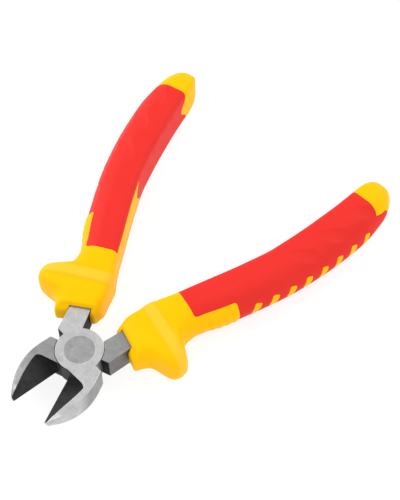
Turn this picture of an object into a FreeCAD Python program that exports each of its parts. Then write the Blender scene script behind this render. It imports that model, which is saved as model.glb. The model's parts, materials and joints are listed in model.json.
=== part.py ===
"""Insulated diagonal cutting pliers.

Two forged halves cross at a lap joint and turn on one flush rivet. Each half is a jaw,
a half-thickness joint disc and a tang. A hard insulating sleeve with a hand guard is
moulded on each tang, and a soft grip is moulded over the sleeve.

Each half is drawn closed, with the rivet axis at the origin, the cutting edge and the
tips towards -Y, the handles towards +Y and the joint's mid-plane at z = 0. The first
half has its jaw at +X and its handle at -X. The second half is the first one turned over
about Y. Both are then opened to the resting angle and the tool is laid on z = 0, with
its bounding box centred on the Z axis. Lengths are in millimetres.
"""
import FreeCAD, Part
import os
from math import cos, sin, tan, radians, pi

V = FreeCAD.Vector

# Whole tool
REST_OPENING = 28.0       # angle between the two halves at rest, degrees
TIP_Y = -28.8             # jaw tips
HANDLE_END_Y = 133.2      # so the closed tool is 162 mm long
REST_FLAT = 8.5           # flats on both sides of the handles, from the mid-plane

# Joint
HALF_T = 4.75             # half the thickness of the head
DISC_R = 8.8
LAYER_GAP = 0.06          # between the mating faces of the two discs
RECESS_GAP = 0.25         # between a disc and the wall that surrounds it
SHOULDER_DEG = 23.9       # the stop faces lie on this line through the pivot
ROOT_R = 1.0              # the jaw and the tang start here, inside the disc
SHANK_R = 3.6
RIVET_HEAD_R = 5.5
RIVET_HEAD_Z = 2.4        # where the rivet starts to widen towards its flush head
RIVET_RIM = 0.9           # straight rim of the head
PIVOT_CLEARANCE = 0.04    # radial, in the half that turns

# Jaw
EDGE_GAP = 0.04           # from each cutting edge to the closing plane
SHOULDER_R = 12.15        # outer corner of the shoulder
CHEEK = (11.25, -8.6)     # where the outer side starts to curve in
CHEEK_MID = (9.35, -18.8)
NOSE = (1.7, TIP_Y)
NOSE_START_Y = -13.5      # where the faces start to curve down to the nose
NOSE_CURVE_R = 36.0
NOSE_CURVE_DEG = 33.0     # enough of the curve to pass the tips
THROAT = (0.3, -9.0)          # ends of the wall behind the bevel, on the flat face
BEVEL_CORNER = (8.35, -12.4)
BEVEL_NEAR = (-8.0, 1.99)      # place along the edge, and the bevel's run for each unit of rise
BEVEL_FAR = (-30.0, 0.79)
WALL_LEAN = 5.0           # lean of that wall, degrees
BEVEL_ROOT_R = 1.4        # fillet between the bevel and the wall
CHEEK_FILLET = 0.7

# Tang
TANG_CORNER_DEG = 180.0 - SHOULDER_DEG
TANG_CORNER_R = 12.0
TANG_OUTER = [(-11.1, 15.6), (-12.9, 24.0)]
TANG_INNER = [(-5.5, 24.0), (-3.45, 16.3), (-2.85, 8.7)]
ARM_HALF_T = 3.0
ARM_LINE = [(22.0, -9.3), (36.0, -11.3), (50.0, -14.8), (64.0, -17.8), (79.0, -20.3),
            (94.0, -20.9), (106.0, -20.3)]
ARM_HALF_W = (3.1, 2.3)   # at the guard and at the far end

# Handle: place along Y, outer side, inner side, half thickness
HANDLE = [
    (13.5, -16.6, -0.9, 6.6),
    (18.0, -17.6, -0.7, 7.2),
    (24.0, -18.0, -1.2, 7.9),
    (30.0, -18.3, -2.3, 8.1),
    (36.0, -18.9, -3.5, 8.2),
    (50.0, -22.8, -6.8, 8.5),
    (64.0, -25.9, -9.8, 8.75),
    (79.0, -28.6, -12.0, 8.8),
    (94.0, -29.4, -12.3, 8.8),
    (109.0, -28.7, -11.6, 8.7),
    (122.5, -25.8, -10.4, 8.1),
    (129.0, -24.0, -11.2, 6.9),
    (132.0, -21.6, -13.2, 4.8),
    (HANDLE_END_Y, -18.8, -15.6, 2.0),
]
OUTER_POWER = 2.1         # roundness of the section's outer half: 2 is an ellipse
INNER_POWER = 3.2
SECTION_POINTS = 24
GRIP_SPAN = (41.0, 121.5)
GRIP_WALL = 1.5
MOULD_GAP = 0.05          # between the two plastics
CORE_STATIONS = (3, 12)   # the rows of HANDLE that shape the core under the grip

# Guard: an oval plate across the collar, leaning towards the jaws at its outer end
GUARD_CENTRE = (-12.4, 27.4)
GUARD_LEAN = 12.0
GUARD_HALF_W = 17.2
GUARD_THICKNESS = 6.4
GUARD_FILLET = 1.9
GUARD_POWER = 2.6
INNER_LIMIT_X = -0.6      # nothing on a handle comes nearer the closing plane
MOUTH_SLOPE_Z = 3.0       # above this height the collar's mouth slopes back
MOUTH_SLOPE = 0.75

FAR = 200.0               # larger than anything in the model
OVERCUT = 0.2             # how far a cut runs past the flat face that it starts from


def polar(radius, angle):
    return (radius * cos(radians(angle)), radius * sin(radians(angle)))


def line(a, b, z=0.0):
    return Part.LineSegment(V(a[0], a[1], z), V(b[0], b[1], z)).toShape()


def polygon(points, z=0.0):
    corners = [V(x, y, z) for x, y in points]
    return Part.Face(Part.makePolygon(corners + corners[:1]))


def prism(points, z_low, z_high):
    return polygon(points, z_low).extrude(V(0, 0, z_high - z_low))


def slab_y(y_low, y_high):
    return Part.makeBox(2 * FAR, y_high - y_low, 2 * FAR, V(-FAR, y_low, -FAR))


def largest_solid(shape):
    return max(shape.Solids, key=lambda solid: solid.Volume)


def joint_disc():
    """The half-thickness disc above the mid-plane."""
    z_low = LAYER_GAP / 2
    return Part.makeCylinder(DISC_R, HALF_T - z_low, V(0, 0, z_low))


def other_disc_space():
    """The space below the mid-plane where the other half's disc turns."""
    return Part.makeCylinder(DISC_R + RECESS_GAP, FAR + LAYER_GAP / 2, V(0, 0, -FAR))


def rivet_profile(clearance):
    """A rivet with a flush, countersunk head at each end, turned about Z."""
    shank = SHANK_R + clearance
    head = RIVET_HEAD_R + clearance
    rim_z = HALF_T - RIVET_RIM
    side = [(0, HALF_T), (head, HALF_T), (head, rim_z), (shank, RIVET_HEAD_Z)]
    outline = side + [(x, -z) for x, z in reversed(side)]
    corners = [V(x, 0, z) for x, z in outline]
    face = Part.Face(Part.makePolygon(corners + corners[:1]))
    return face.revolve(V(0, 0, 0), V(0, 0, 1), 360)


def jaw_blank():
    """The jaw's plan through the full thickness of the head."""
    shoulder = polar(SHOULDER_R, -SHOULDER_DEG)
    shoulder_root = polar(ROOT_R, -SHOULDER_DEG)
    edge_root = (EDGE_GAP, -2.0)
    tip = (EDGE_GAP, TIP_Y)
    cheek_arc = Part.Arc(V(*NOSE, 0), V(*CHEEK_MID, 0), V(*CHEEK, 0)).toShape()
    outline = [line(edge_root, tip), line(tip, NOSE), cheek_arc, line(CHEEK, shoulder),
               line(shoulder, shoulder_root), line(shoulder_root, edge_root)]
    blank = Part.Face(Part.Wire(outline)).extrude(V(0, 0, 2 * HALF_T))
    blank.translate(V(0, 0, -HALF_T))
    return blank


def nose_cut():
    """What is ground off above the curve from the flat face down to the nose."""
    drop_angle = radians(NOSE_CURVE_DEG)
    centre_z = HALF_T - NOSE_CURVE_R

    def on_curve(angle):
        y = NOSE_START_Y - NOSE_CURVE_R * sin(angle)
        return V(-1, y, centre_z + NOSE_CURVE_R * cos(angle))

    start = on_curve(0.0)
    end = on_curve(drop_angle)
    above_end = V(-1, end.y, HALF_T + 1)
    above_start = V(-1, start.y, HALF_T + 1)
    outline = [Part.Arc(start, on_curve(drop_angle / 2), end).toShape(),
               Part.LineSegment(end, above_end).toShape(),
               Part.LineSegment(above_end, above_start).toShape(),
               Part.LineSegment(above_start, start).toShape()]
    return Part.Face(Part.Wire(outline)).extrude(V(FAR, 0, 0))


def bevel_cut():
    """What is ground off above the bevel that rises from the cutting edge."""
    height = HALF_T + 10 * OVERCUT
    sections = []
    for y, run in (BEVEL_NEAR, BEVEL_FAR):
        corners = [V(EDGE_GAP - 1, y, 0), V(EDGE_GAP, y, 0),
                   V(EDGE_GAP + height * run, y, height), V(EDGE_GAP - 1, y, height)]
        sections.append(Part.makePolygon(corners + corners[:1]))
    above_bevel = Part.makeLoft(sections, True, True)
    along = (BEVEL_CORNER[0] - THROAT[0], BEVEL_CORNER[1] - THROAT[1])
    beyond = (BEVEL_CORNER[0] + 2 * along[0], BEVEL_CORNER[1] + 2 * along[1])
    before = (THROAT[0] - along[0], THROAT[1] - along[1])
    plan = [before, beyond, (beyond[0], -FAR), (before[0], -FAR)]
    reach = tan(radians(WALL_LEAN)) * height
    length = (along[0] ** 2 + along[1] ** 2) ** 0.5
    lean = V(along[1] / length * reach, -along[0] / length * reach, -height)
    in_front_of_wall = polygon(plan, HALF_T + OVERCUT).extrude(lean)
    cut = largest_solid(above_bevel.common(in_front_of_wall))
    return cut.makeFillet(BEVEL_ROOT_R, [root_edge(cut)])


def root_edge(cut):
    """The longest rising edge of the cut, where the bevel meets the wall behind it."""
    rising = [edge for edge in cut.Edges if edge.BoundBox.ZLength > HALF_T]
    return max(rising, key=lambda edge: edge.Length)


def mirrored_z(shape):
    return shape.mirror(V(0, 0, 0), V(0, 0, 1))


def cheek_edges(solid):
    """The two long edges along the curved outer side of the jaw."""
    found = []
    for edge in solid.Edges:
        middle = edge.valueAt((edge.FirstParameter + edge.LastParameter) / 2)
        long_curve = edge.Length > 8 and middle.x > 5 and abs(middle.z) > 1
        if long_curve and NOSE_START_Y > middle.y > TIP_Y:
            found.append(edge)
    return found


def jaw():
    nose = nose_cut()
    solid = jaw_blank().cut(nose).cut(mirrored_z(nose))
    solid = solid.makeFillet(CHEEK_FILLET, cheek_edges(solid))
    bevel = bevel_cut()
    return solid.cut(bevel).cut(mirrored_z(bevel))


def tang():
    """The bar from the joint into the guard, and the thinner arm inside the sleeve."""
    corner = polar(TANG_CORNER_R, TANG_CORNER_DEG)
    root = polar(ROOT_R, TANG_CORNER_DEG)
    bar = prism([root, corner] + TANG_OUTER + TANG_INNER, -HALF_T, HALF_T)
    count = len(ARM_LINE) - 1
    outer, inner = [], []
    for index, (y, x) in enumerate(ARM_LINE):
        half = ARM_HALF_W[0] + (ARM_HALF_W[1] - ARM_HALF_W[0]) * index / count
        outer.append((x - half, y))
        inner.append((x + half, y))
    arm = prism(outer + inner[::-1], -ARM_HALF_T, ARM_HALF_T)
    return bar.fuse(arm)


def forged_half(bore_clearance):
    blank = jaw().fuse(tang()).cut(other_disc_space())
    solid = blank.fuse(joint_disc()).cut(rivet_profile(bore_clearance))
    return solid.removeSplitter()


def oval(y, outer, inner, half_t, outer_power=OUTER_POWER):
    """A closed outline in a plane of constant y, with its outer side towards -X."""
    centre = (outer + inner) / 2
    half_w = (inner - outer) / 2
    points = []
    for index in range(SECTION_POINTS):
        angle = 2 * pi * index / SECTION_POINTS
        power = INNER_POWER if cos(angle) > 0 else outer_power
        across = abs(cos(angle)) ** (2 / power)
        up = abs(sin(angle)) ** (2 / power)
        x = centre + half_w * (across if cos(angle) > 0 else -across)
        points.append(V(x, y, half_t * (up if sin(angle) > 0 else -up)))
    curve = Part.BSplineCurve()
    curve.interpolate(Points=points, PeriodicFlag=True)
    return Part.Wire(curve.toShape())


def section(station, inset):
    """One cross-section of the handle, or of the core that lies inset below its surface."""
    y, outer, inner, half_t = station
    return oval(y, outer + inset, inner - inset, half_t - inset)


def handle_body(inset=0.0, first=0, last=len(HANDLE)):
    return Part.makeLoft([section(station, inset) for station in HANDLE[first:last]], True)


def guard_plate():
    """An oval plate with rounded rims, leaning towards the jaws at its outer end."""
    outline = oval(-GUARD_THICKNESS / 2, -GUARD_HALF_W, GUARD_HALF_W, REST_FLAT, GUARD_POWER)
    plate = Part.Face(outline).extrude(V(0, GUARD_THICKNESS, 0))
    rims = [edge for edge in plate.Edges if len(edge.Vertexes) == 1]
    plate = plate.makeFillet(GUARD_FILLET, rims)
    plate.rotate(V(0, 0, 0), V(0, 0, 1), GUARD_LEAN)
    plate.translate(V(*GUARD_CENTRE, 0))
    return plate


def mouth_slope_cut():
    """What the sloping mouth leaves out above the tang."""
    y = HANDLE[0][0] - 1
    top = REST_FLAT + 2
    reach = (top - MOUTH_SLOPE_Z) * MOUTH_SLOPE + 1
    corners = [V(-FAR, y, MOUTH_SLOPE_Z), V(-FAR, y + 1, MOUTH_SLOPE_Z),
               V(-FAR, y + reach, top), V(-FAR, y, top)]
    return Part.Face(Part.makePolygon(corners + corners[:1])).extrude(V(2 * FAR, 0, 0))


def trimmed_to_flats(shape):
    allowed = Part.makeBox(FAR + INNER_LIMIT_X, 2 * FAR, 2 * REST_FLAT,
                           V(-FAR, -FAR, -REST_FLAT))
    return shape.common(allowed)


def sleeve():
    """The hard insulating layer, from the guard's collar to the end of the handle."""
    covered = slab_y(*GRIP_SPAN)
    shown = handle_body().fuse(guard_plate()).cut(covered)
    mouth = mouth_slope_cut()
    shown = trimmed_to_flats(shown).cut(mouth).cut(mirrored_z(mouth))
    core = handle_body(GRIP_WALL + MOULD_GAP, *CORE_STATIONS).common(covered)
    return shown.fuse(core).cut(tang()).removeSplitter()


def grip():
    """The soft layer over the middle of the sleeve."""
    span = slab_y(GRIP_SPAN[0] + MOULD_GAP, GRIP_SPAN[1] - MOULD_GAP)
    outside = trimmed_to_flats(handle_body().common(span))
    return outside.cut(handle_body(GRIP_WALL, *CORE_STATIONS))


def placed(shape, turned_over, shift):
    """Opens one half to the resting angle and lays the tool on z = 0."""
    shape = shape.copy()
    opening = REST_OPENING / 2
    if turned_over:
        shape.rotate(V(0, 0, 0), V(0, 1, 0), 180)
        opening = -opening
    shape.rotate(V(0, 0, 0), V(0, 0, 1), opening)
    shape.translate(shift)
    return shape


def main():
    upper = forged_half(PIVOT_CLEARANCE)
    lower = forged_half(0.0)
    hard = largest_solid(sleeve())
    soft = largest_solid(grip())
    tip = placed(upper, False, V(0, 0, 0)).optimalBoundingBox().YMin
    end = placed(hard, False, V(0, 0, 0)).optimalBoundingBox().YMax
    shift = V(0, -(tip + end) / 2, REST_FLAT)
    nodes = {
        "upper_half": placed(upper, False, shift),
        "lower_half": placed(lower, True, shift),
        "pivot_rivet": placed(rivet_profile(0.0), False, shift),
        "left_sleeve": placed(hard, False, shift),
        "left_grip": placed(soft, False, shift),
        "right_sleeve": placed(hard, True, shift),
        "right_grip": placed(soft, True, shift),
    }
    os.makedirs("parts", exist_ok=True)
    for name, shape in nodes.items():
        shape.exportStep(f"parts/{name}.step")
        box = shape.optimalBoundingBox()
        print(f"{name:13s} solids {len(shape.Solids)} valid {shape.isValid()} "
              f"volume {shape.Volume:8.1f} mm3, x {box.XMin:.2f} to {box.XMax:.2f}, "
              f"y {box.YMin:.2f} to {box.YMax:.2f}, z {box.ZMin:.2f} to {box.ZMax:.2f}")
    print(f"pivot at y {shift.y:.3f}, z {shift.z:.3f}")


main()
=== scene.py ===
"""Looks for the insulated diagonal cutting pliers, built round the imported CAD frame.

The two forged halves and the rivet stay as CAD made them and get steel materials. The
sleeves and grips are rebuilt here as fine meshes: a closed sleeve with its guard, ribs
and end cap, and a closed grip shell with the windows that the sleeve shows through.

Each handle is drawn as CAD draws it: closed, with the pivot at the origin, the handle
running along +Y at -X, and the tool's centre plane at z = 0. The drawing is in
millimetres and goes into the frame in metres.
"""
import bpy
import json
import math
import numpy as np
from mathutils import Matrix, Vector


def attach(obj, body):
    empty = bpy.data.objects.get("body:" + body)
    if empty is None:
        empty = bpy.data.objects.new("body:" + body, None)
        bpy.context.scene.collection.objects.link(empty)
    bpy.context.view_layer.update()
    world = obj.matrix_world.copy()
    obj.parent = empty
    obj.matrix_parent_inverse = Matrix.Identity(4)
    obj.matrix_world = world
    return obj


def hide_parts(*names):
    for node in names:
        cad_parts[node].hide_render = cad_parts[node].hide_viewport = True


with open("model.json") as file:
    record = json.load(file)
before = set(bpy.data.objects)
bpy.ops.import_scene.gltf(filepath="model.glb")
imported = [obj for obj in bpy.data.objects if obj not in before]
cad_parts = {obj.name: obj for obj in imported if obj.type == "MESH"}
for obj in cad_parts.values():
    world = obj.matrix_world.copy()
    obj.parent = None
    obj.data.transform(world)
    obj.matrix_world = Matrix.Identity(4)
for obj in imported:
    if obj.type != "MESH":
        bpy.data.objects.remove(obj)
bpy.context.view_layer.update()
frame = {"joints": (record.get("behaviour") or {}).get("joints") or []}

MM = 0.001
JOINT = frame["joints"][0]
PIVOT = Vector(JOINT["pos_m"])
HALF_OPENING = math.radians(-JOINT["range_deg"][0]) / 2

# ---------------------------------------------------------------- camera

CAMERA_ELEVATION = math.radians(56.50)
CAMERA_AZIMUTH = math.radians(38.03)
CAMERA_ROLL = math.radians(0.90)
CAMERA_DISTANCE = 0.4916
CAMERA_ASIDE = 0.04289       # the camera's own place, right of and above the pivot's line
CAMERA_ABOVE = 0.03801
LENS_MM = 98.7


def make_camera():
    right = Vector((math.cos(CAMERA_AZIMUTH), math.sin(CAMERA_AZIMUTH), 0))
    ahead = Vector((-math.sin(CAMERA_AZIMUTH), math.cos(CAMERA_AZIMUTH), 0))
    rise, reach = math.sin(CAMERA_ELEVATION), math.cos(CAMERA_ELEVATION)
    up = ahead * rise + Vector((0, 0, reach))
    back = ahead * -reach + Vector((0, 0, rise))
    turn, keep = math.sin(CAMERA_ROLL), math.cos(CAMERA_ROLL)
    right, up = right * keep - up * turn, right * turn + up * keep
    place = PIVOT + right * CAMERA_ASIDE + up * CAMERA_ABOVE + back * CAMERA_DISTANCE
    data = bpy.data.cameras.new("camera")
    data.lens = LENS_MM
    camera = bpy.data.objects.new("camera", data)
    bpy.context.scene.collection.objects.link(camera)
    camera.matrix_world = Matrix((
        (right.x, up.x, back.x, place.x),
        (right.y, up.y, back.y, place.y),
        (right.z, up.z, back.z, place.z),
        (0, 0, 0, 1),
    ))
    bpy.context.scene.camera = camera


# ---------------------------------------------------------------- curves and distances


def spline(knots, values, at):
    """A smooth curve through the values that never overshoots them."""
    gap = np.diff(knots)
    slope = np.diff(values) / gap
    before, after = slope[:-1], slope[1:]
    level = before * after <= 0
    weight = (2 * gap[1:] + gap[:-1], gap[1:] + 2 * gap[:-1])
    shares = weight[0] / np.where(level, 1, before) + weight[1] / np.where(level, 1, after)
    mean = sum(weight) / shares
    tangent = np.concatenate([slope[:1], np.where(level, 0, mean), slope[-1:]])
    at = np.clip(at, knots[0], knots[-1])
    k = np.clip(np.searchsorted(knots, at, side="right") - 1, 0, len(gap) - 1)
    t = (at - knots[k]) / gap[k]
    rise = t * t * (3 - 2 * t)
    lift = gap[k] * (tangent[k] * t * (1 - t) ** 2 - tangent[k + 1] * t * t * (1 - t))
    return values[k] + (values[k + 1] - values[k]) * rise + lift


def ramp(x, low, high):
    """0 below low, 1 above high, smooth between."""
    t = np.clip((x - low) / (high - low), 0, 1)
    return t * t * (3 - 2 * t)


def between(x, start, end):
    """1 inside and 0 outside; the start and the end are each a pair of limits."""
    return ramp(x, *start) * (1 - ramp(x, *end))


def union(a, b, radius):
    """Distance to two shapes joined with a fillet."""
    blend = np.clip(0.5 + 0.5 * (b - a) / radius, 0, 1)
    return b * (1 - blend) + a * blend - radius * blend * (1 - blend)


def bar(x, y, half_x, half_y, radius):
    """Distance to a round-cornered bar; negative inside."""
    dx, dy = np.abs(x) - half_x + radius, np.abs(y) - half_y + radius
    outside = np.hypot(np.maximum(dx, 0), np.maximum(dy, 0))
    return outside + np.minimum(np.maximum(dx, dy), 0) - radius


# ---------------------------------------------------------------- handle outline
#
# A handle is a stack of leaning sections. Each row gives a section's place along the
# handle, its outer side with the guard, its inner side, its half thickness and the
# squareness of its outer half, where 2 is an ellipse and more is squarer.

SECTIONS = (
    # place  outer  inner  half_t  squareness
    (14.6, -16.5, -1.4, 6.5, 4.2),
    (17.2, -17.4, -0.5, 7.1, 4.2),
    (19.2, -18.5, -0.5, 7.4, 4.2),
    (21.2, -20.9, -0.6, 7.6, 4.0),
    (23.2, -24.4, -0.7, 7.7, 3.8),
    (24.9, -27.0, -0.8, 7.65, 3.8),
    (26.4, -28.0, -0.9, 7.65, 3.8),
    (28.4, -28.3, -1.0, 7.7, 3.6),
    (30.2, -28.2, -1.2, 7.7, 3.1),
    (31.4, -27.3, -1.6, 7.75, 2.8),
    (32.3, -24.8, -1.9, 7.8, 2.7),
    (33.3, -21.2, -2.2, 7.85, 2.5),
    (34.6, -19.5, -2.7, 7.9, 2.5),
    (37.2, -18.9, -3.4, 7.95, 2.3),
    (39.7, -18.9, -4.1, 8.1, 2.1),
    (43.2, -19.8, -4.9, 8.3, 1.9),
    (51.2, -22.4, -6.6, 8.35, 1.8),
    (59.2, -24.3, -8.3, 8.4, 1.8),
    (67.2, -26.0, -9.8, 8.4, 1.8),
    (80.2, -28.1, -11.6, 8.4, 1.8),
    (95.2, -28.9, -12.0, 8.4, 1.8),
    (110.2, -28.2, -11.7, 8.4, 1.8),
    (123.7, -25.0, -10.8, 8.4, 1.9),
    (134.0, -21.2, -9.4, 8.3, 2.0),
)
INNER_SQUARENESS = 6.5
MOUTH, END = SECTIONS[0][0], SECTIONS[-1][0]

# How far the sections lean, in degrees, by their place. In front they lean about a line
# through the tang, and behind LINE_ENDS about their own middles.
LEAN = ((14.6, 12.0), (41.0, 12.0), (61.0, 9.0), (95.0, 0.0), (121.0, -7.0), (134.0, -9.0))
LINE_X = -9.1                # the line's x at LINE_PLACE
LINE_PLACE = 26.2
LINE_SLOPE = -0.1
LINE_ENDS = (43.2, 44.2)

MOUTH_ROUND = 0.9            # radius of the mouth's edge
MOUTH_X = -8.3               # the mouth leans about this
CHEEK_BACK = 2.4             # how far the mouth draws back above and below the tang
CHEEK_HEIGHT = (2.2, 6.2)    # the heights where drawing back starts and is complete
CHEEK_END = 24.0             # the place where it has faded out

RIDGE_HEIGHT = 0.8           # of the band across the guard
RIDGE_FRONT = (25.3, 26.8)   # where the band rises
RIDGE_BACK = (29.5, 31.4)    # where it falls
RIDGE_TURN = 0.06            # how much less the band leans than the sections

END_CAP = 122.5              # from here the section closes towards the rounded end
END_SQUARENESS = 2.35

AROUND = 168                 # points round a section
STEP = 0.34                  # spacing of the sections
MOUTH_ROWS = 6               # sections round the mouth's edge
END_ROWS = 60                # sections over the end cap
END_CROWDING = 1.7           # how much closer they stand towards the tip
END_REACH = 0.985            # how much of the end cap they cover before the last fan
ARC_SAMPLES = 481            # for spacing a section's points evenly
TINY = 1e-9


def full_ring(upper, sign=-1):
    """A ring made of its upper half and of the same values, times sign, on the way back."""
    return np.concatenate([upper, sign * upper[..., -2:0:-1]], axis=-1)


def half_ring(outer_square, inner_square):
    """The upper half of a unit section, from its inner end round to its outer end."""
    angle = np.linspace(0, math.pi, ARC_SAMPLES)
    power = np.where(angle < math.pi / 2, inner_square, outer_square)
    across = np.abs(np.cos(angle)) ** (2 / power) * np.sign(np.cos(angle))
    rise = np.abs(np.sin(angle)) ** (2 / power)
    length = np.concatenate([[0], np.cumsum(np.hypot(np.diff(across), np.diff(rise)))])
    even = np.linspace(0, length[-1], AROUND // 2 + 1)
    return np.interp(even, length, across), np.interp(even, length, rise)


def station_places():
    """The sections' places, and how far each is drawn in to round the mouth's edge."""
    turn = np.radians(np.linspace(90, 0, MOUTH_ROWS + 1)[:-1])
    mouth = MOUTH - MOUTH_ROUND * np.sin(turn)
    run = np.arange(MOUTH, END_CAP, STEP)
    crowded = 1 - (1 - np.linspace(0, END_REACH, END_ROWS)) ** END_CROWDING
    end = END_CAP + (END - END_CAP) * crowded
    inset = np.concatenate([MOUTH_ROUND * (1 - np.cos(turn)), np.zeros(len(run) + len(end))])
    return np.concatenate([mouth, run, end]), inset


def cheek_step(z):
    """How far the mouth is drawn back at a height."""
    return CHEEK_BACK * ramp(np.abs(z), *CHEEK_HEIGHT)


def handle_surface():
    """The handle's skin as a grid of points, its normals, and maps laid over it in mm."""
    place, inset = station_places()
    rows = np.array(SECTIONS)
    outer, inner, half_t, square = (spline(rows[:, 0], rows[:, c], place) for c in (1, 2, 3, 4))
    lean_rows = np.array(LEAN)
    lean = np.tan(np.radians(spline(lean_rows[:, 0], lean_rows[:, 1], place)))
    shut = np.clip((place - END_CAP) / (END - END_CAP), 0, 1)
    shut = (1 - shut ** END_SQUARENESS) ** (1 / END_SQUARENESS)
    middle = (outer + inner) / 2
    spread = ((inner - outer) / 2 - inset) * shut
    own = np.interp(place, LINE_ENDS, (0, 1))
    hub = (1 - own) * (LINE_X + LINE_SLOPE * (place - LINE_PLACE)) + own * middle
    grid = np.zeros((len(place), AROUND, 3))
    for k in range(len(place)):
        x, z = half_ring(square[k], INNER_SQUARENESS)
        x = full_ring(x, 1) * spread[k] + middle[k]
        band = between(place[k] + RIDGE_TURN * (x - hub[k]), RIDGE_FRONT, RIDGE_BACK)
        z = full_ring(z) * (half_t[k] + RIDGE_HEIGHT * band - inset[k]) * shut[k]
        y = place[k] + (x - hub[k]) * lean[k]
        y = y + cheek_step(z) * (1 - ramp(place[k], MOUTH, CHEEK_END))
        grid[k] = np.stack([x, y, z], axis=1)
    along = np.gradient(grid, axis=0)
    across = np.roll(grid, -1, axis=1) - np.roll(grid, 1, axis=1)
    normal = np.cross(along, across)
    normal /= np.maximum(np.linalg.norm(normal, axis=2, keepdims=True), TINY)
    step = np.linalg.norm(np.diff(grid[:, :AROUND // 2 + 1], axis=1), axis=2)
    arc = np.concatenate([np.zeros((len(place), 1)), np.cumsum(step, axis=1)], axis=1)
    return {
        "points": grid,
        "normals": normal,
        "place": np.repeat(place[:, None], AROUND, axis=1),
        "from_inner": full_ring(arc),
        "from_outer": full_ring(arc[:, -1:] - arc),
        "aside": grid[:, :, 0] - middle[:, None],
    }


# ---------------------------------------------------------------- where red meets yellow

GRIP_START = 40.4
FRONT_SLOPE = 0.07           # how the start slants across the handle
# The window on the outer spine is a bar about OUTER_WINDOW_PLACE, open to the guard.
OUTER_WINDOW_PLACE = 40.0
OUTER_WINDOW_END = 56.2
OUTER_WINDOW_HALF = 6.8
OUTER_WINDOW_CORNER = 1.1
OUTER_FILLET = 1.3
INNER_WINDOW_END = 70.6
INNER_WINDOW_HALF = 5.5
INNER_FILLET = 1.0
PRONG = 4.2                  # how far the inner window's corners run on
PRONG_EDGE = 0.6             # scales the distance along the handle at the far edge
# Heights and the grip's far end at them, on the outer and the inner side.
OUTER_TIP = ((0, 2.0, 3.2, 4.0, 5.0, 6.2, 8.0), (127.2, 126.8, 125.4, 122.6, 120.4, 121.0, 121.3))
INNER_TIP = ((0, 1.5, 3.0, 4.5, 5.9, 8.0), (117.0, 117.4, 118.8, 120.2, 121.0, 121.2))
TIP_TURN = 3.5               # one end becomes the other within this of the middle
TIP_EDGE = 0.85              # scales the distance at the grip's far end
BARS = tuple(63.0 + 7.1 * k for k in range(8))
BAR_SLANT = math.radians(22)
BAR_HALF = (1.4, 2.8)
BAR_CORNER = 0.8


def grip_edge(skin):
    """Distance from the parting line: above 0 the soft grip shows, below 0 the sleeve."""
    place, aside = skin["place"], skin["aside"]
    out, inn = skin["from_outer"], skin["from_inner"]
    front = place - GRIP_START + FRONT_SLOPE * aside
    outer_window = bar(out, place - OUTER_WINDOW_PLACE, OUTER_WINDOW_HALF,
                       OUTER_WINDOW_END - OUTER_WINDOW_PLACE, OUTER_WINDOW_CORNER)
    reach = INNER_WINDOW_END + PRONG * (np.abs(inn) / INNER_WINDOW_HALF) ** 2
    inner_window = np.maximum(np.abs(inn) - INNER_WINDOW_HALF, PRONG_EDGE * (place - reach))
    height = np.abs(skin["points"][:, :, 2])
    side = ramp(aside, -TIP_TURN, TIP_TURN)
    end = np.interp(height, *OUTER_TIP) * (1 - side) + np.interp(height, *INNER_TIP) * side
    edge = union(union(front, outer_window, OUTER_FILLET), inner_window, INNER_FILLET)
    edge = np.minimum(edge, TIP_EDGE * (end - place))
    cos, sin = math.cos(BAR_SLANT), math.sin(BAR_SLANT)
    for centre in BARS:
        along, across = (place - centre) * cos + out * sin, out * cos - (place - centre) * sin
        edge = np.minimum(edge, bar(along, across, *BAR_HALF, BAR_CORNER))
    return edge


# ---------------------------------------------------------------- relief
#
# The grip has flats beside its outer spine and shallow thumb scallops on both faces. The
# sleeve has ribs in its outer window. Pairs are where something starts and is complete.

FACET_HEIGHT = 0.28
FACET_NEAR = (5.6, 7.2)      # distance round from the outer spine
FACET_FAR = (7.2, 11.5)
FACET_FRONT = (52, 60)
FACET_BACK = (92, 104)
SCALLOPS = (85.5, 100.0, 114.5)
SCALLOP_DEPTH = 0.55
SCALLOP_SPINE = 10.8         # its middle's distance round from the outer spine
SCALLOP_HALF = (3.8, 4.3)    # along the handle and across it
SCALLOP_SLANT = 0.8
SCALLOP_POWER = 0.7          # under 1 makes a flatter floor and a crisper rim

WINDOW_BACK = (54.8, 55.9)
LIFT_HEIGHT = 0.42           # how proud the ribbed part stands
LIFT_FRONT = (42, 49)
LIFT_SIDE = (3.0, 6.4)
GROOVE_DEPTH = 0.27
GROOVE_FRONT = (42.5, 44)
GROOVE_SIDE = (2.8, 5.2)
RIB_START = 43.2
RIB_SPACING = 2.9


def grip_relief(skin):
    """Flats and scallops of the soft grip."""
    place, out, aside = skin["place"], np.abs(skin["from_outer"]), skin["aside"]
    relief = FACET_HEIGHT * between(out, FACET_NEAR, FACET_FAR) * between(place, FACET_FRONT, FACET_BACK)
    for centre in SCALLOPS:
        slant = (place - centre + SCALLOP_SLANT * aside) / SCALLOP_HALF[0]
        across = (out - SCALLOP_SPINE) / SCALLOP_HALF[1]
        dish = np.clip(1 - slant ** 2 - across ** 2, 0, 1) ** SCALLOP_POWER
        relief = relief - SCALLOP_DEPTH * dish
    return relief


def sleeve_relief(skin):
    """Fine ribs that stand proud of the outer window."""
    place, out = skin["place"], np.abs(skin["from_outer"])
    lift = LIFT_HEIGHT * between(place, LIFT_FRONT, WINDOW_BACK) * (1 - ramp(out, *LIFT_SIDE))
    groove = GROOVE_DEPTH * between(place, GROOVE_FRONT, WINDOW_BACK) * (1 - ramp(out, *GROOVE_SIDE))
    wave = 0.5 - 0.5 * np.cos((place - RIB_START) * 2 * math.pi / RIB_SPACING)
    return lift - groove * wave ** 2


# ---------------------------------------------------------------- meshes

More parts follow.
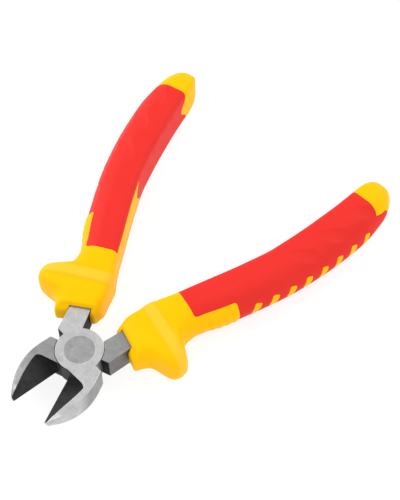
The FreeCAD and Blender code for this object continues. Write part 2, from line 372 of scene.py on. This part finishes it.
RAISED = 0.45                # the handles' mid-plane above the joint's
TANG_HOLE = (-11.35, -3.2, 4.95)     # its outer side, inner side and half thickness
TANG_HOLE_DEPTH = 3.0
LIP_DEPTH = 0.3              # of the first ring inside the hole
LIP_ROWS = 8                 # rings from the hole's edge to the mouth's edge
# At the parting line both layers lie DIP under the drawn skin. Away from it the layer
# that shows comes up to the skin, and the other one goes down to its own depth.
DIP = 0.13
DIP_SLOPE = 0.5
SLEEVE_DEPTH = 1.4
GRIP_DEPTH = 1.3
GRIP_ENDS = (39, 129.5)      # the grip's mesh runs between these places
GRIP_RELIEF = (0.2, 1.2)     # how far from the parting line its relief starts and is whole


def grid_faces(rows):
    faces = []
    for k in range(rows - 1):
        for j in range(AROUND):
            a, b = k * AROUND + j, k * AROUND + (j + 1) % AROUND
            faces.append((a, b, b + AROUND, a + AROUND))
    return faces


def closed_tube(rings):
    """A tube of rings closed at both ends with a fan to the middle."""
    points = np.concatenate(rings)
    faces = grid_faces(len(rings))
    start, end = len(points), len(points) + 1
    points = np.concatenate([points, [rings[0].mean(axis=0)], [rings[-1].mean(axis=0)]])
    last = (len(rings) - 1) * AROUND
    for j in range(AROUND):
        after = (j + 1) % AROUND
        faces.append((start, after, j))
        faces.append((end, last + j, last + after))
    return points, faces


def hole_ring():
    """The hole for the tang, one point for each point of the mouth's ring."""
    x0, x1, half = TANG_HOLE
    cx, half_x = (x0 + x1) / 2, (x1 - x0) / 2
    angle = np.linspace(0, 2 * math.pi, AROUND, endpoint=False)
    reach = 1 / np.maximum(np.abs(np.cos(angle)), np.abs(np.sin(angle)))
    return cx + half_x * np.cos(angle) * reach, half * np.sin(angle) * reach


def mouth_face(x, z):
    """The leaning, stepped face of the mouth: its y at a point."""
    lean = math.tan(math.radians(LEAN[0][1]))
    return MOUTH - MOUTH_ROUND + (x - MOUTH_X) * lean + cheek_step(z)


def mouth_rings(first_ring):
    """From the tang hole's floor out to the edge of the mouth."""
    x, z = hole_ring()
    lip = np.stack([x, mouth_face(x, z), z], axis=1)
    rings = [lip + np.array([0, TANG_HOLE_DEPTH, 0]), lip + np.array([0, LIP_DEPTH, 0])]
    for t in np.linspace(0, 1, LIP_ROWS + 1)[:-1]:
        ring = lip + (first_ring - lip) * t
        ring[:, 1] = mouth_face(ring[:, 0], ring[:, 2]) * (1 - t) + ring[:, 1] * t
        rings.append(ring)
    return rings


def to_frame(points, side):
    """Handle drawing to the frame: side 1 is the left handle, -1 the right one turned over."""
    x, y, z = points[:, 0] * side, points[:, 1], points[:, 2] * side
    turn = side * HALF_OPENING
    cos, sin = math.cos(turn), math.sin(turn)
    placed = np.stack([x * cos - y * sin, x * sin + y * cos, z + RAISED], axis=1) * MM
    return placed + np.array(PIVOT)


def add_piece(name, points, faces, side, body, node, material):
    mesh = bpy.data.meshes.new(name)
    mesh.from_pydata(to_frame(points, side).tolist(), [], faces)
    mesh.polygons.foreach_set("use_smooth", [True] * len(mesh.polygons))
    mesh.update()
    mesh.materials.append(material)
    piece = bpy.data.objects.new(name, mesh)
    bpy.context.scene.collection.objects.link(piece)
    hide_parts(node)
    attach(piece, body)
    return piece


def layer_skin(skin, shows, depth, relief):
    """The skin moved in or out for one layer; shows is above 0 where the layer is on top."""
    level = np.clip(DIP_SLOPE * shows - DIP, -depth, 0) + relief
    return skin["points"] + skin["normals"] * level[:, :, None]


def handle_pieces(side, body, sleeve_material, grip_material):
    name = "left" if side == 1 else "right"
    skin = handle_surface()
    edge = grip_edge(skin)
    sleeve = layer_skin(skin, -edge, SLEEVE_DEPTH, np.where(edge < 0, sleeve_relief(skin), 0))
    points, faces = closed_tube(mouth_rings(sleeve[0]) + list(sleeve))
    add_piece(f"{name}_sleeve_skin", points, faces, side, body, f"{name}_sleeve",
              sleeve_material)
    grip = layer_skin(skin, edge, GRIP_DEPTH, ramp(edge, *GRIP_RELIEF) * grip_relief(skin))
    place = skin["place"][:, 0]
    points, faces = closed_tube(list(grip[(place > GRIP_ENDS[0]) & (place < GRIP_ENDS[1])]))
    add_piece(f"{name}_grip_skin", points, faces, side, body, f"{name}_grip",
              grip_material)


# ---------------------------------------------------------------- materials
#
# Lengths inside a material are in metres, and noise scales are per metre.


class Shader:
    """A short way to write a material's nodes."""

    def __init__(self, name):
        self.material = bpy.data.materials.new(name)
        self.material.use_nodes = True
        self.tree = self.material.node_tree
        self.surface = self.tree.nodes["Principled BSDF"]

    def node(self, kind, inputs=None, **settings):
        made = self.tree.nodes.new(kind)
        for key, value in settings.items():
            setattr(made, key, value)
        for key, value in (inputs or {}).items():
            self.feed(made.inputs[key], value)
        return made

    def feed(self, socket, value):
        if isinstance(value, bpy.types.NodeSocket):
            self.tree.links.new(value, socket)
        else:
            socket.default_value = value

    def math(self, operation, a, b=0.0):
        return self.node("ShaderNodeMath", {0: a, 1: b}, operation=operation).outputs[0]

    def map(self, value, low, high, to_low=0.0, to_high=1.0):
        """to_low below low, to_high above high, smooth between."""
        inputs = {"Value": value, "From Min": low, "From Max": high, "To Min": to_low, "To Max": to_high}
        return self.node("ShaderNodeMapRange", inputs, interpolation_type="SMOOTHSTEP").outputs[0]

    def falls(self, value, low, high):
        """1 below low, 0 above high."""
        return self.map(value, low, high, 1.0, 0.0)

    def all_of(self, first, *others):
        for other in others:
            first = self.math("MULTIPLY", first, other)
        return first

    def any_of(self, first, *others):
        for other in others:
            first = self.math("MAXIMUM", first, other)
        return first

    def place(self):
        return self.node("ShaderNodeTexCoord").outputs["Object"]

    def from_pivot(self, angle):
        """Place in a drawing that lies turned about the pivot."""
        inputs = {0: self.place(), 1: tuple(PIVOT)}
        moved = self.node("ShaderNodeVectorMath", inputs, operation="SUBTRACT")
        return self.turned(moved.outputs[0], angle)

    def normal(self, angle):
        """The surface's own normal in that drawing."""
        return self.turned(self.node("ShaderNodeTexCoord").outputs["Normal"], angle)

    def turned(self, vector, angle):
        inputs = {"Angle": angle, "Vector": vector}
        return self.node("ShaderNodeVectorRotate", inputs, rotation_type="Z_AXIS").outputs[0]

    def parts(self, vector, flip):
        """x, y and z, with x turned over where flip is -1."""
        xyz = self.node("ShaderNodeSeparateXYZ", {0: vector}).outputs
        return self.math("MULTIPLY", xyz[0], flip), xyz[1], xyz[2]

    def noise(self, scale, detail, roughness=0.5, vector=None):
        inputs = {"Scale": scale, "Detail": detail, "Roughness": roughness,
                  "Vector": self.place() if vector is None else vector}
        return self.node("ShaderNodeTexNoise", inputs).outputs["Fac"]

    def stretched_noise(self, vector, scale, detail, roughness, turn=0.0):
        inputs = {"Vector": vector, "Rotation": (0, 0, turn), "Scale": scale}
        mapped = self.node("ShaderNodeMapping", inputs).outputs[0]
        return self.noise(1.0, detail, roughness, mapped)

    def mix(self, factor, a, b):
        made = self.node("ShaderNodeMix", data_type="RGBA")
        self.feed(made.inputs[0], factor)
        self.feed(made.inputs[6], a)
        self.feed(made.inputs[7], b)
        return made.outputs[2]

    def tinted(self, base, mask, strength, colour):
        """The base with the colour over it where the mask is."""
        return self.mix(self.math("MULTIPLY", mask, strength), base, colour)


def grey(value):
    return (value, value, value, 1.0)


# ---- plastics

# Noises are a scale and a detail; limits are where a noise starts to show and shows fully.
CLOUD_NOISE, CLOUD_LIMITS, CLOUD_STRENGTH = (90.0, 4.0), (0.3, 0.75), 0.22
SPECK_NOISE, SPECK_LIMITS, SPECK_STRENGTH = (900.0, 2.0), (0.66, 0.8), 0.10
WEAR_NOISE, WEAR_LIMITS = (260.0, 5.0), (0.2, 0.8)
WEAR_ROUGHNESS = (-0.05, 0.08)       # added where least and most worn
GRAIN_DETAIL = 2.0
BAND_HIGHLIGHT_YELLOW = (0.96, 0.548, 0.028, 1)      # the guard's band, with a painted highlight


def guard_band(shader, side):
    """1 on the band across the guard of the left handle (side 1) or the right one (-1)."""
    x, y, _ = shader.parts(shader.from_pivot(-side * HALF_OPENING), float(side))
    slope = RIDGE_TURN - math.tan(math.radians(LEAN[0][1]))
    from_line = shader.math("ADD", x, -LINE_X * MM)
    at = shader.math("ADD", y, shader.math("MULTIPLY", from_line, slope))
    rise = shader.map(at, *(limit * MM for limit in RIDGE_FRONT))
    return shader.all_of(rise, shader.falls(at, *(limit * MM for limit in RIDGE_BACK)))


def plastic(name, colour, deep, rough, gloss, grain, grain_scale, banded=0):
    """A moulded plastic: faintly clouded colour, fine grain and duller worn patches.

    grain is the depth of the grain, and banded is the side of a handle whose guard's band
    gets a painted highlight.
    """
    shader = Shader(name)
    cloud = shader.map(shader.noise(*CLOUD_NOISE), *CLOUD_LIMITS)
    speck = shader.map(shader.noise(*SPECK_NOISE), *SPECK_LIMITS)
    base = shader.tinted(colour, cloud, CLOUD_STRENGTH, deep)
    base = shader.tinted(base, speck, SPECK_STRENGTH, deep)
    if banded:
        # painted highlight: the guard's band is drawn paler
        base = shader.mix(guard_band(shader, banded), base, BAND_HIGHLIGHT_YELLOW)
    shader.feed(shader.surface.inputs["Base Color"], base)
    limits = (rough + change for change in WEAR_ROUGHNESS)
    wear = shader.map(shader.noise(*WEAR_NOISE), *WEAR_LIMITS, *limits)
    shader.feed(shader.surface.inputs["Roughness"], wear)
    shader.surface.inputs["Specular IOR Level"].default_value = gloss
    height = {"Height": shader.noise(grain_scale, GRAIN_DETAIL), "Distance": grain, "Strength": 1.0}
    shader.feed(shader.surface.inputs["Normal"], shader.node("ShaderNodeBump", height).outputs[0])
    return shader.material


# ---- steels
#
# Each pair is where a mask starts to change and where the change is complete. x and y are
# in the half's own closed drawing, where the jaw points along -Y at +X and the tang along
# +Y at -X. NZ is how much the surface faces up or down.

JAW_Y, JAW_X = (-0.0080, -0.0076), (-0.0018, -0.0014)
GROUND_NZ = (0.96, 0.98)             # above this a face is a ground flat
BEVEL_NX = (-0.22, -0.16)
WALL_Y, WALL_X = (-0.0145, -0.0135), (0.0088, 0.0092)
UPRIGHT_NZ = (0.4, 0.6)
DISC_RADIUS, DISC_Y = (0.0092, 0.0094), (-0.005, -0.004)
INWARD = (-0.45, -0.3)               # the normal's part that points away from the pivot
TANG_Y, TANG_NX = (0.0055, 0.0065), (0.6, 0.8)
SHOULDER_X, SHOULDER_NY = (-0.0084, -0.0080), (-0.5, -0.3)
NOSE_Y = (-0.0268, -0.0232)
NOSE_NZ_LOW, NOSE_NZ_HIGH = (0.55, 0.75), (0.93, 0.985)
SIDE_NZ, SIDE_Y = (0.45, 0.95), (-0.0200, -0.0130)
THROAT_Y = (-0.0190, -0.0110)

BRUSH_NOISE = {"scale": (3200.0, 420.0, 3200.0), "detail": 4.0, "roughness": 0.6}
SCRATCH_NOISE = {"scale": (6000.0, 260.0, 900.0), "detail": 1.0, "roughness": 0.4, "turn": 0.9}
PATCH_NOISE = (420.0, 5.0, 0.65)
BLOTCH_NOISE = (260.0, 2.0, 0.5)
SHADE_LIMITS, BLOTCH_LIMITS = (0.35, 0.65), (0.40, 0.72)
SCRATCH_LIMITS, NOSE_LIMITS = (0.70, 0.76), (0.40, 0.56)
# Strengths of what lies over the steel, and tones as shares of the steel's own tone.
LIGHT_TONES = (0.86, 1.08)
# NOSE_HIGHLIGHT is a painted highlight, and SIDE_SHADE is painted shade on the jaws' sloping sides.
BLOTCH, SCRATCH, NOSE_HIGHLIGHT, SIDE_SHADE = (0.30, 0.55), (0.5, 1.9), (0.65, 1.7), (0.55, 0.12)
DARK_AND_SHADE_TONES = (0.75, 1.3)
# THROAT_SHADE is painted shade, near-black towards the throat.
THROAT_SHADE, DISC_TONE = (0.75, 0.15), 1.6
METALLIC = (0.6, 0.0)                # ground faces, dark faces
SHEEN = (0.5, 0.06)
ROUGH_CHANGE = (0.06, -0.04)         # added in the darkest and the lightest grain
DARK_ROUGHER = 0.15
BRUSH_DEPTH, BRUSH_STRENGTH = 0.00001, 0.5
SOFT_EDGE = 0.00025                  # radius that edges look rounded with
SOFT_EDGE_SAMPLES = 4


def dark_and_shaded_faces(shader, x, y, nx, ny, nz, reach):
    """Masks of the dark faces and of the discs' sides among them: the jaws' bevels and shoulders, and
    painted shade on the walls between the jaws, on faces turned towards the pivot and on the tang's inner
    side.
    """
    not_flat = shader.falls(nz, *GROUND_NZ)
    on_jaw = shader.all_of(shader.falls(y, *JAW_Y), shader.map(x, *JAW_X))
    bevel = shader.all_of(on_jaw, not_flat, shader.falls(nx, *BEVEL_NX))
    wall = shader.all_of(on_jaw, not_flat, shader.map(y, *WALL_Y), shader.falls(x, *WALL_X))
    disc = shader.all_of(shader.falls(nz, *UPRIGHT_NZ), shader.falls(reach, *DISC_RADIUS),
                         shader.falls(y, *DISC_Y))
    outward = shader.math("ADD", shader.math("MULTIPLY", nx, x), shader.math("MULTIPLY", ny, y))
    inward = shader.falls(shader.math("DIVIDE", outward, reach), *INWARD)
    tang_side = shader.all_of(shader.map(y, *TANG_Y), shader.map(nx, *TANG_NX))
    shoulder = shader.all_of(shader.falls(x, *SHOULDER_X), shader.falls(ny, *SHOULDER_NY))
    return shader.any_of(bevel, wall, disc, inward, tang_side, shoulder), disc


def steel(name, tone, dark_tone, turn, flip, rough, brushed):
    """Ground steel with a painted highlight at the nose, painted shade on the jaws' sloping sides, and
    dark faces with painted shade deepest in the throat.

    turn and flip take the frame into the half's own closed drawing, and brushed is the
    share of fine brushing in the grain, the rest being patches.
    """
    shader = Shader(name)
    local = shader.from_pivot(turn)
    x, y, _ = shader.parts(local, flip)
    nx, ny, nz = shader.parts(shader.normal(turn), flip)
    nz = shader.math("ABSOLUTE", nz)
    square = shader.math("ADD", shader.math("MULTIPLY", x, x), shader.math("MULTIPLY", y, y))
    dark, disc = dark_and_shaded_faces(shader, x, y, nx, ny, nz, shader.math("SQRT", square))

    brush = shader.stretched_noise(local, **BRUSH_NOISE)
    patch = shader.noise(*PATCH_NOISE, local)
    grain = shader.math("ADD", shader.math("MULTIPLY", brush, brushed),
                        shader.math("MULTIPLY", patch, 1 - brushed))
    shade = shader.map(grain, *SHADE_LIMITS)
    blotch = shader.map(shader.noise(*BLOTCH_NOISE, local), *BLOTCH_LIMITS)
    scratch = shader.map(shader.stretched_noise(local, **SCRATCH_NOISE), *SCRATCH_LIMITS)
    # painted highlight along the jaw's nose, in patches
    nose_highlight = shader.all_of(shader.falls(y, *NOSE_Y), shader.falls(nz, *NOSE_NZ_HIGH),
                         shader.map(nz, *NOSE_NZ_LOW), shader.map(patch, *NOSE_LIMITS))
    # painted shade on the jaws' sloping sides, deepest away from the nose
    side = shader.all_of(shader.falls(nz, *SIDE_NZ), shader.map(y, *SIDE_Y))
    light = shader.mix(shade, *(grey(tone * share) for share in LIGHT_TONES))
    for mask, (strength, share) in ((blotch, BLOTCH), (scratch, SCRATCH), (nose_highlight, NOSE_HIGHLIGHT), (side, SIDE_SHADE)):
        light = shader.tinted(light, mask, strength, grey(min(1.0, tone * share)))

    # the dark faces' colour, with painted shade near-black towards the throat where the bevel meets the
    # joint
    dark_and_painted_shade = shader.mix(shade, *(grey(dark_tone * share) for share in DARK_AND_SHADE_TONES))
    strength, share = THROAT_SHADE
    dark_and_painted_shade = shader.tinted(dark_and_painted_shade, shader.map(y, *THROAT_Y), strength, grey(dark_tone * share))
    dark_and_painted_shade = shader.mix(disc, dark_and_painted_shade, grey(dark_tone * DISC_TONE))

    shader.feed(shader.surface.inputs["Base Color"], shader.mix(dark, light, dark_and_painted_shade))
    shader.feed(shader.surface.inputs["Metallic"], shader.map(dark, 0.0, 1.0, *METALLIC))
    shader.feed(shader.surface.inputs["Specular IOR Level"], shader.map(dark, 0.0, 1.0, *SHEEN))
    roughness = shader.map(shade, 0.0, 1.0, *(rough + change for change in ROUGH_CHANGE))
    roughness = shader.math("ADD", roughness, shader.math("MULTIPLY", dark, DARK_ROUGHER))
    shader.feed(shader.surface.inputs["Roughness"], roughness)
    soft_edge = shader.node("ShaderNodeBevel", {"Radius": SOFT_EDGE}, samples=SOFT_EDGE_SAMPLES)
    height = {"Height": brush, "Distance": BRUSH_DEPTH, "Strength": BRUSH_STRENGTH,
              "Normal": soft_edge.outputs[0]}
    shader.feed(shader.surface.inputs["Normal"], shader.node("ShaderNodeBump", height).outputs[0])
    return shader.material


# ---------------------------------------------------------------- set and lights

FLOOR_HALF = 2.5
FLOOR_DROP = 0.00005         # keeps the floor just under the tool
FLOOR_TINTS = (0.21, 0.23)
FLOOR_NOISE = (6.0, 2.0)
FLOOR_ROUGHNESS = 0.9
FLOOR_GLOW = 0.84            # a pale ground that gives off light, so shadows stay faint
WORLD_STRENGTH = 0.87
WHITE = (1, 1, 1, 1)
LIGHTS = (
    # name  place  size  power
    ("key", (-0.80, -0.20, 0.65), 0.7, 4.7),
    ("fill", (0.25, 0.60, 0.60), 0.6, 1.6),
    ("front", (0.70, -0.40, 0.35), 0.6, 0.7),
)


def add_floor():
    corners = [(x * FLOOR_HALF, y * FLOOR_HALF, 0) for x, y in ((-1, -1), (1, -1), (1, 1), (-1, 1))]
    mesh = bpy.data.meshes.new("floor")
    mesh.from_pydata(corners, [], [(0, 1, 2, 3)])
    floor = bpy.data.objects.new("floor", mesh)
    floor.location.z = -FLOOR_DROP
    bpy.context.scene.collection.objects.link(floor)
    shader = Shader("floor_white")
    low, high = (grey(tint) for tint in FLOOR_TINTS)
    shader.feed(shader.surface.inputs["Base Color"], shader.mix(shader.noise(*FLOOR_NOISE), low, high))
    shader.surface.inputs["Roughness"].default_value = FLOOR_ROUGHNESS
    shader.surface.inputs["Specular IOR Level"].default_value = 0.0
    shader.surface.inputs["Emission Color"].default_value = WHITE
    shader.surface.inputs["Emission Strength"].default_value = FLOOR_GLOW
    mesh.materials.append(shader.material)


def add_light(name, place, size, power):
    """A square light that points at the origin."""
    data = bpy.data.lights.new(name, "AREA")
    data.shape = "SQUARE"
    data.size = size
    data.energy = power
    light = bpy.data.objects.new(name, data)
    light.location = place
    light.rotation_euler = (-Vector(place)).to_track_quat("-Z", "Y").to_euler()
    bpy.context.scene.collection.objects.link(light)


def set_world():
    world = bpy.data.worlds.new("studio")
    bpy.context.scene.world = world
    world.use_nodes = True
    background = world.node_tree.nodes["Background"]
    background.inputs["Color"].default_value = WHITE
    background.inputs["Strength"].default_value = WORLD_STRENGTH


# ---------------------------------------------------------------- the scene

red = plastic("soft_red", colour=(0.77, 0.022, 0.015, 1), deep=(0.68, 0.014, 0.009, 1),
              rough=0.55, gloss=0.20, grain=0.00003, grain_scale=3400.0)
for side, body in ((1, "left_handle"), (-1, "right_handle")):
    yellow = plastic(f"hard_yellow_{body}", colour=(0.96, 0.527, 0.0005, 1), deep=(0.92, 0.42, 0.0005, 1),
                     rough=0.42, gloss=0.05, grain=0.000012, grain_scale=2600.0, banded=side)
    handle_pieces(side, body, yellow, red)

DARK_TONE = 0.034
steels = {
    "upper_half": steel("ground_steel", 0.54, DARK_TONE, -HALF_OPENING, 1.0, rough=0.36, brushed=0.6),
    "lower_half": steel("satin_steel", 0.30, DARK_TONE, HALF_OPENING, -1.0, rough=0.40, brushed=0.5),
    "pivot_rivet": steel("rivet_steel", 0.34, DARK_TONE, 0.0, 1.0, rough=0.42, brushed=0.3),
}
for node, material in steels.items():
    shown = bpy.data.objects[node]
    shown.data.materials.clear()
    shown.data.materials.append(material)

add_floor()
set_world()
for light in LIGHTS:
    add_light(*light)
make_camera()
bpy.context.scene.view_settings.view_transform = "Standard"
